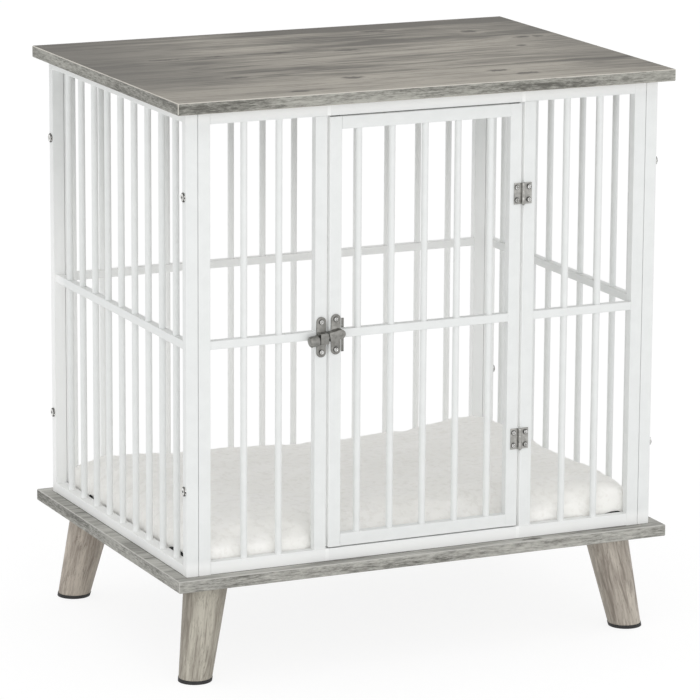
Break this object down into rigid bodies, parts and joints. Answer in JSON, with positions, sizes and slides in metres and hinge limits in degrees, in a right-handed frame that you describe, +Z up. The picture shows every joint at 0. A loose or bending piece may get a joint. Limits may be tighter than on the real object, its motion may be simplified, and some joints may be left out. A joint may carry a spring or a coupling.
{
  "type": "dog crate end table",
  "caption": "End table with wood-look top and base boards around a barred steel dog cage, with a hinged, latched door, splayed legs and a plush cushion inside.",
  "frame": {"origin": "on the floor, under the middle of the table", "axes": "+Z up, the door faces -Y, the door's hinges are on the +X side"},
  "size_m": [0.64, 0.465, 0.692],
  "materials": {
    "laminate": "matte wood-look laminate, washed grey-brown, grain along the board",
    "leg_wood": "matte stained wood, grain along the leg",
    "white_steel": "white powder coat, satin",
    "nickel_steel": "nickel plated, satin",
    "pad": "black",
    "plush": "off-white short-pile plush",
    "underside_cloth": "black non-slip cloth"
  },
  "bodies": {
    "crate": {"back_frame_bars": "white_steel", "back_frame_bottom_rail": "white_steel", "back_frame_left_stile": "white_steel", "back_frame_mid_rail": "white_steel", "back_frame_right_stile": "white_steel", "back_frame_top_rail": "white_steel", "base_board": "laminate", "base_board_screws": "nickel_steel", "door_stop_plate": "nickel_steel", "foot_pad_back_left": "pad", "foot_pad_back_right": "pad", "foot_pad_front_left": "pad", "foot_pad_front_right": "pad", "frame_hardware_screws": "nickel_steel", "front_frame_bars": "white_steel", "front_frame_bottom_rail": "white_steel", "front_frame_hinge_post": "white_steel", "front_frame_latch_post": "white_steel", "front_frame_left_mid_rail": "white_steel", "front_frame_left_stile": "white_steel", "front_frame_right_mid_rail": "white_steel", "front_frame_right_stile": "white_steel", "front_frame_top_rail": "white_steel", "hinge_leaves_frame": "nickel_steel", "hinge_pins": "nickel_steel", "latch_body": "nickel_steel", "left_frame_back_stile": "white_steel", "left_frame_bars": "white_steel", "left_frame_bottom_rail": "white_steel", "left_frame_front_stile": "white_steel", "left_frame_mid_rail": "white_steel", "left_frame_top_rail": "white_steel", "leg_back_left": "leg_wood", "leg_back_right": "leg_wood", "leg_front_left": "leg_wood", "leg_front_right": "leg_wood", "leg_screws": "nickel_steel", "panel_bolts": "nickel_steel", "panel_nuts": "nickel_steel", "right_frame_back_stile": "white_steel", "right_frame_bars": "white_steel", "right_frame_bottom_rail": "white_steel", "right_frame_front_stile": "white_steel", "right_frame_mid_rail": "white_steel", "right_frame_top_rail": "white_steel", "top_board": "laminate", "top_board_screws": "nickel_steel"},
    "door": {"door_bars": "white_steel", "door_bottom_rail": "white_steel", "door_hardware_screws": "nickel_steel", "door_hinge_stile": "white_steel", "door_latch_stile": "white_steel", "door_mid_rail": "white_steel", "door_top_rail": "white_steel", "hinge_leaves_door": "nickel_steel", "latch_keeper": "nickel_steel"},
    "latch_bolt": {"latch_pin": "nickel_steel", "latch_knob": "nickel_steel"},
    "cushion": {"cushion": "plush", "cushion_underside": "underside_cloth"}
  },
  "joints": [
    {"name": "door_swing", "type": "hinge", "parent": "crate", "child": "door", "pos_m": [0.1256, -0.21946, 0.405], "axis": [0, 0, 1], "range_deg": [0, 170]},
    {"name": "latch_slide", "type": "slide", "parent": "crate", "child": "latch_bolt", "axis": [-0.9816, 0, -0.1908], "range_m": [0, 0.02]},
    {"name": "cushion_lift", "type": "slide", "parent": "crate", "child": "cushion", "axis": [0, 0, 1], "range_m": [0, 0.2]}
  ]
}
